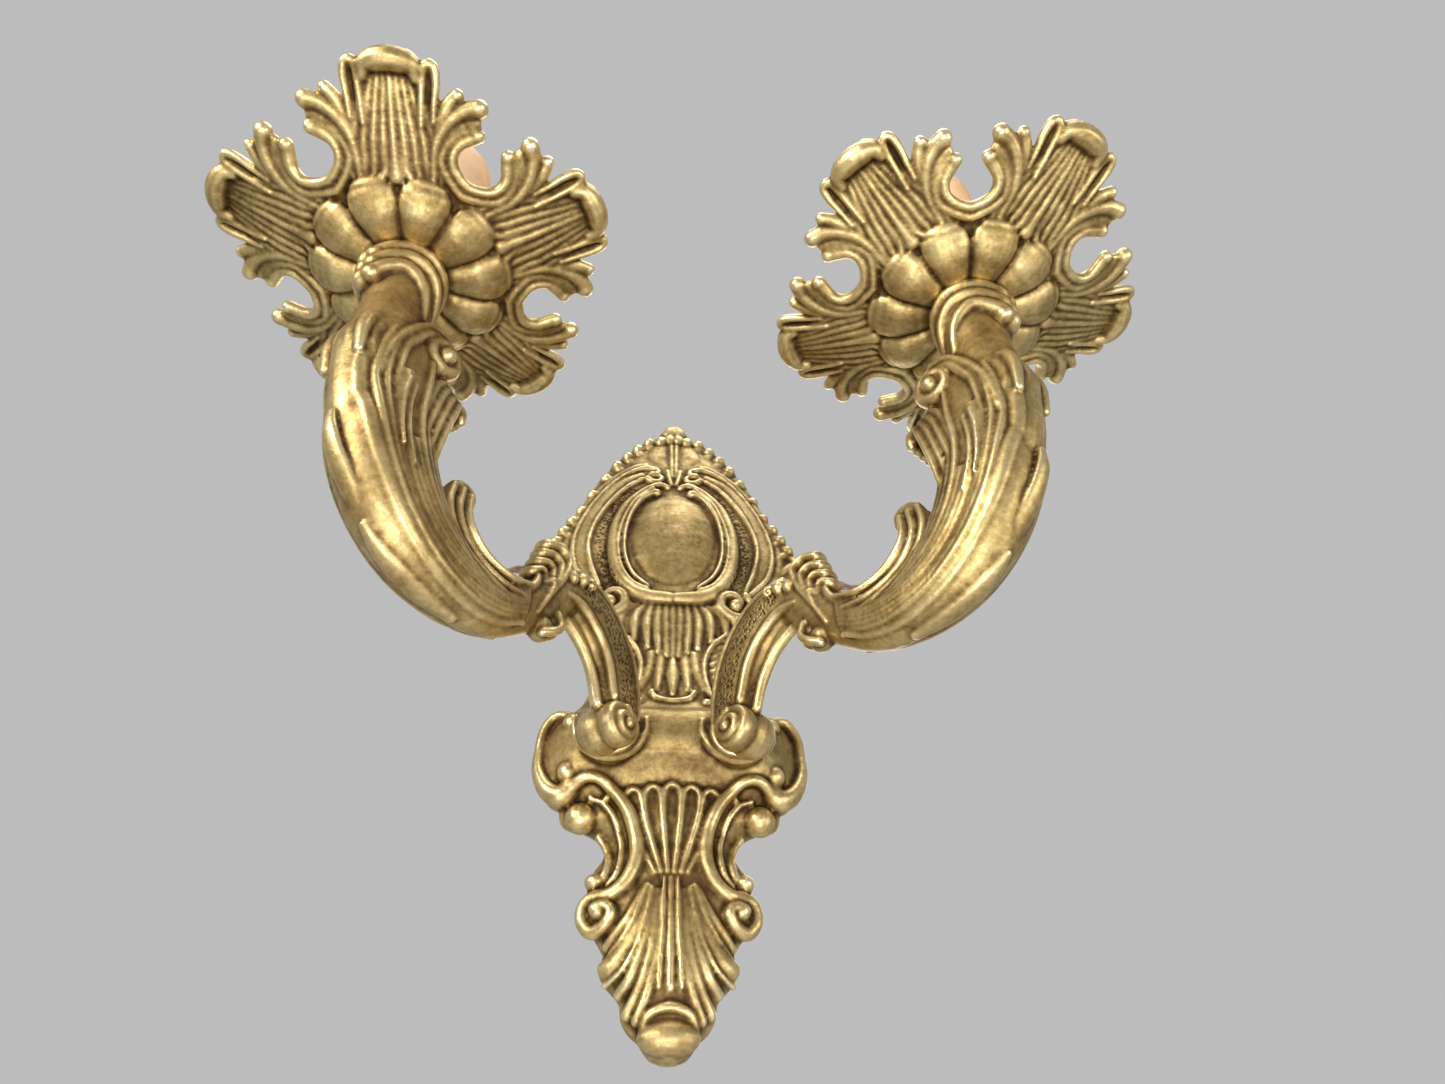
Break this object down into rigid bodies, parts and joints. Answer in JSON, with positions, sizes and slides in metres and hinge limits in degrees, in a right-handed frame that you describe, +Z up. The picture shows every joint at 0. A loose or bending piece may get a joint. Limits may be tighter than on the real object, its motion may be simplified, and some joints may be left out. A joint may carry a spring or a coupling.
{
  "type": "wall sconce",
  "caption": "Cast brass wall sconce: scrolled back plate, two leaf-clad arms, each with a lobed drip pan that turns and a candle-style lampholder in a lift-off sleeve.",
  "frame": {"origin": "middle of the hanger bracket's back face, on the wall", "axes": "+Z up, +X to the right of a person facing the wall, +Y into the wall"},
  "size_m": [0.306, 0.19, 0.2735],
  "materials": {
    "cast_brass": "cast, antiqued: dark brown in the recesses, worn bright on the high edges",
    "turned_brass": "turned, dull gloss",
    "zinc_steel": "zinc plated, dull",
    "sleeve_card": "smooth aged card",
    "holder_bakelite": "moulded, dull gloss",
    "block_ceramic": "glazed",
    "flex_jacket": "smooth soft jacket"
  },
  "bodies": {
    "sconce": {"back_plate": "cast_brass", "arm_left": "cast_brass", "arm_right": "cast_brass", "nipple_left": "turned_brass", "nipple_right": "turned_brass", "sleeve_seat_left": "turned_brass", "sleeve_seat_right": "turned_brass", "lock_nut_left": "turned_brass", "lock_nut_right": "turned_brass", "screw_shell_left": "turned_brass", "screw_shell_right": "turned_brass", "lamp_contact_left": "turned_brass", "lamp_contact_right": "turned_brass", "hanger_bracket": "zinc_steel", "bracket_screw_left": "zinc_steel", "bracket_screw_right": "zinc_steel", "arm_screw_left": "zinc_steel", "arm_screw_right": "zinc_steel", "arm_washer_left": "zinc_steel", "arm_washer_right": "zinc_steel", "terminal_screw_1": "zinc_steel", "terminal_screw_2": "zinc_steel", "terminal_screw_3": "zinc_steel", "terminal_screw_4": "zinc_steel", "lampholder_left": "holder_bakelite", "lampholder_right": "holder_bakelite", "terminal_block": "block_ceramic", "flex_left": "flex_jacket", "flex_right": "flex_jacket"},
    "candle_sleeve_left_body": {"candle_sleeve_left": "sleeve_card"},
    "candle_sleeve_right_body": {"candle_sleeve_right": "sleeve_card"},
    "pan_left_body": {"pan_left": "cast_brass"},
    "pan_right_body": {"pan_right": "cast_brass"}
  },
  "joints": [
    {"name": "pan_turn_left", "type": "hinge", "parent": "sconce", "child": "pan_left_body", "pos_m": [-0.0897, -0.125, -0.014], "axis": [0, 0, 1], "continuous": true},
    {"name": "sleeve_lift_left", "type": "slide", "parent": "sconce", "child": "candle_sleeve_left_body", "axis": [0, 0, 1], "range_m": [0, 0.07]},
    {"name": "pan_turn_right", "type": "hinge", "parent": "sconce", "child": "pan_right_body", "pos_m": [0.0897, -0.125, -0.014], "axis": [0, 0, 1], "continuous": true},
    {"name": "sleeve_lift_right", "type": "slide", "parent": "sconce", "child": "candle_sleeve_right_body", "axis": [0, 0, 1], "range_m": [0, 0.07]}
  ]
}
